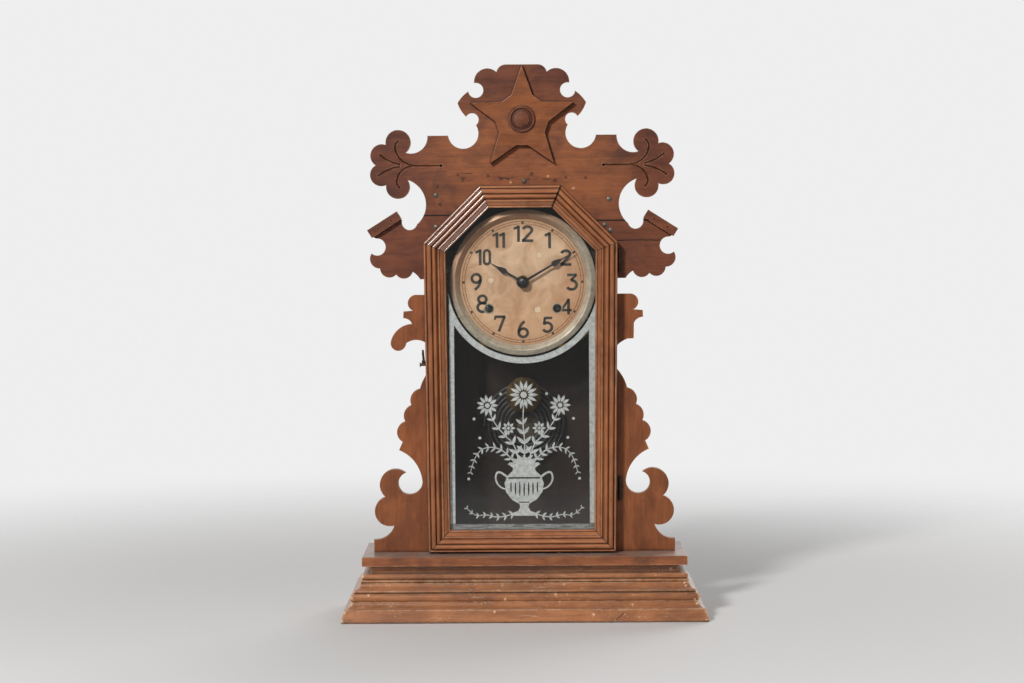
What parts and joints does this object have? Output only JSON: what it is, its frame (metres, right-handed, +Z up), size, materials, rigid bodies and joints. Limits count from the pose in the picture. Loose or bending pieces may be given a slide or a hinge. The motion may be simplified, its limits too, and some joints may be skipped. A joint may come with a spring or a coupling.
{
  "type": "table clock",
  "caption": "Carved wooden table clock with a stepped base, pierced front boards, a star crest, a glazed door with slanted corners, a round dial and a striking pendulum movement.",
  "frame": {"origin": "on the table, under the middle of the base's outer box", "axes": "+Z up, -Y towards the viewer, +X to the viewer's right"},
  "size_m": [0.379, 0.133, 0.575],
  "materials": {
    "crest_wood": "aged shellac, reddish",
    "door_wood": "aged shellac, orange",
    "base_wood": "worn, scuffed shellac",
    "case_wood": "dark, dusty",
    "glass": "clear sheet",
    "bezel_brass": "tarnished",
    "movement_brass": "dull",
    "steel": "dull grey",
    "dark_iron": "dark",
    "dial_sheet": "aged paper face",
    "hand_black": "blackened steel"
  },
  "bodies": {
    "case": {"base_front_moulding": "base_wood", "base_left_moulding": "base_wood", "base_right_moulding": "base_wood", "base_back_rail": "case_wood", "base_shelf": "base_wood", "case_left_side": "case_wood", "case_right_side": "case_wood", "case_top": "case_wood", "case_back": "case_wood", "crest_board": "crest_wood", "left_ear_board": "crest_wood", "right_ear_board": "crest_wood", "left_side_board": "crest_wood", "right_side_board": "crest_wood", "ear_blocks": "crest_wood", "crest_star": "crest_wood", "star_rosette": "crest_wood", "front_screws": "steel", "hinge_case_leaves": "dark_iron", "latch_screw": "dark_iron", "dial_plate": "dial_sheet", "dial_bezel": "bezel_brass", "dial_cleats": "case_wood", "dial_screws": "steel", "front_plate": "movement_brass", "back_plate": "movement_brass", "plate_pillars": "steel", "suspension_post": "movement_brass", "mainsprings": "steel", "gong_coil": "steel", "gong_base": "dark_iron"},
    "door": {"door_bottom_rail": "door_wood", "door_left_stile": "door_wood", "door_right_stile": "door_wood", "door_left_diagonal": "door_wood", "door_right_diagonal": "door_wood", "door_top_rail": "door_wood", "door_glass": "glass", "glazing_strips": "case_wood", "hinge_door_leaves": "dark_iron", "latch_stud": "dark_iron"},
    "latch": {"latch_hook": "dark_iron"},
    "minute_hand_set": {"cannon_pinion": "movement_brass", "minute_hand": "hand_black", "hand_nut": "hand_black"},
    "minute_wheel_set": {"minute_wheel": "movement_brass"},
    "hour_hand_set": {"hour_wheel": "movement_brass", "hour_hand": "hand_black"},
    "centre_wheel_set": {"centre_wheel": "movement_brass"},
    "third_wheel_set": {"third_wheel": "movement_brass"},
    "escape_wheel_set": {"escape_wheel": "movement_brass"},
    "verge_set": {"verge": "steel"},
    "pendulum": {"pendulum_rod": "steel", "pendulum_bob": "movement_brass"},
    "time_great_wheel_set": {"time_great_wheel": "movement_brass"},
    "time_winding": {"time_winding_arbor": "steel"},
    "strike_great_wheel_set": {"strike_great_wheel": "movement_brass"},
    "strike_winding": {"strike_winding_arbor": "steel"},
    "strike_pin_wheel_set": {"strike_pin_wheel": "movement_brass"},
    "hammer_set": {"hammer": "steel"}
  },
  "joints": [
    {"name": "door_hinge", "type": "hinge", "parent": "case", "child": "door", "pos_m": [0.1007, -0.0086, 0.067], "axis": [0, 0, 1], "range_deg": [0, 95]},
    {"name": "latch_turn", "type": "hinge", "parent": "case", "child": "latch", "pos_m": [-0.1047, 0.0101, 0.2634], "axis": [1, 0, 0], "range_deg": [-12, 25]},
    {"name": "minute_hand_turn", "type": "hinge", "parent": "case", "child": "minute_hand_set", "pos_m": [0, 0.0105, 0.3483], "axis": [0, 1, 0], "continuous": true},
    {"name": "minute_wheel_turn", "type": "hinge", "parent": "case", "child": "minute_wheel_set", "pos_m": [0, 0.0105, 0.3283], "axis": [0, 1, 0], "continuous": true},
    {"name": "hour_hand_turn", "type": "hinge", "parent": "case", "child": "hour_hand_set", "pos_m": [0, 0.0105, 0.3483], "axis": [0, 1, 0], "continuous": true},
    {"name": "third_wheel_turn", "type": "hinge", "parent": "case", "child": "third_wheel_set", "pos_m": [0.016, 0.0105, 0.3693], "axis": [0, 1, 0], "continuous": true},
    {"name": "centre_wheel_turn", "type": "hinge", "parent": "case", "child": "centre_wheel_set", "pos_m": [0, 0.0105, 0.3483], "axis": [0, 1, 0], "continuous": true},
    {"name": "escape_wheel_turn", "type": "hinge", "parent": "case", "child": "escape_wheel_set", "pos_m": [0, 0.0105, 0.3813], "axis": [0, 1, 0], "continuous": true},
    {"name": "time_great_wheel_turn", "type": "hinge", "parent": "case", "child": "time_great_wheel_set", "pos_m": [0.0358, 0.0105, 0.3206], "axis": [0, 1, 0], "continuous": true},
    {"name": "time_winding_turn", "type": "hinge", "parent": "time_great_wheel_set", "child": "time_winding", "pos_m": [0.0358, 0.0105, 0.3206], "axis": [0, 1, 0], "range_deg": [0, 720]},
    {"name": "pendulum_swing", "type": "hinge", "parent": "case", "child": "pendulum", "pos_m": [0, 0.0105, 0.3983], "axis": [0, 1, 0], "range_deg": [-4, 4]},
    {"name": "verge_swing", "type": "hinge", "parent": "case", "child": "verge_set", "pos_m": [0, 0.0105, 0.3983], "axis": [0, 1, 0], "range_deg": [-4, 4]},
    {"name": "strike_great_wheel_turn", "type": "hinge", "parent": "case", "child": "strike_great_wheel_set", "pos_m": [-0.0358, 0.0105, 0.3206], "axis": [0, 1, 0], "continuous": true},
    {"name": "strike_winding_turn", "type": "hinge", "parent": "strike_great_wheel_set", "child": "strike_winding", "pos_m": [-0.0358, 0.0105, 0.3206], "axis": [0, 1, 0], "range_deg": [0, 720]},
    {"name": "strike_pin_wheel_turn", "type": "hinge", "parent": "case", "child": "strike_pin_wheel_set", "pos_m": [-0.02794, 0.0105, 0.36518], "axis": [0, 1, 0], "continuous": true},
    {"name": "hammer_lift", "type": "hinge", "parent": "case", "child": "hammer_set", "pos_m": [-0.04181, 0.0105, 0.39019], "axis": [0, 1, 0], "range_deg": [0, 10], "stiffness_Nm_per_rad": 0.02, "springref_deg": -5.73}
  ],
  "couplings": [
    {"joint": "minute_wheel_turn", "follows": "minute_hand_turn", "ratio": -0.33333},
    {"joint": "hour_hand_turn", "follows": "minute_hand_turn", "ratio": 0.083333},
    {"joint": "centre_wheel_turn", "follows": "third_wheel_turn", "ratio": -0.1},
    {"joint": "time_great_wheel_turn", "follows": "third_wheel_turn", "ratio": 0.0083333},
    {"joint": "escape_wheel_turn", "follows": "third_wheel_turn", "ratio": -9},
    {"joint": "verge_swing", "follows": "pendulum_swing", "ratio": 1},
    {"joint": "strike_pin_wheel_turn", "follows": "strike_great_wheel_turn", "ratio": -12}
  ]
}
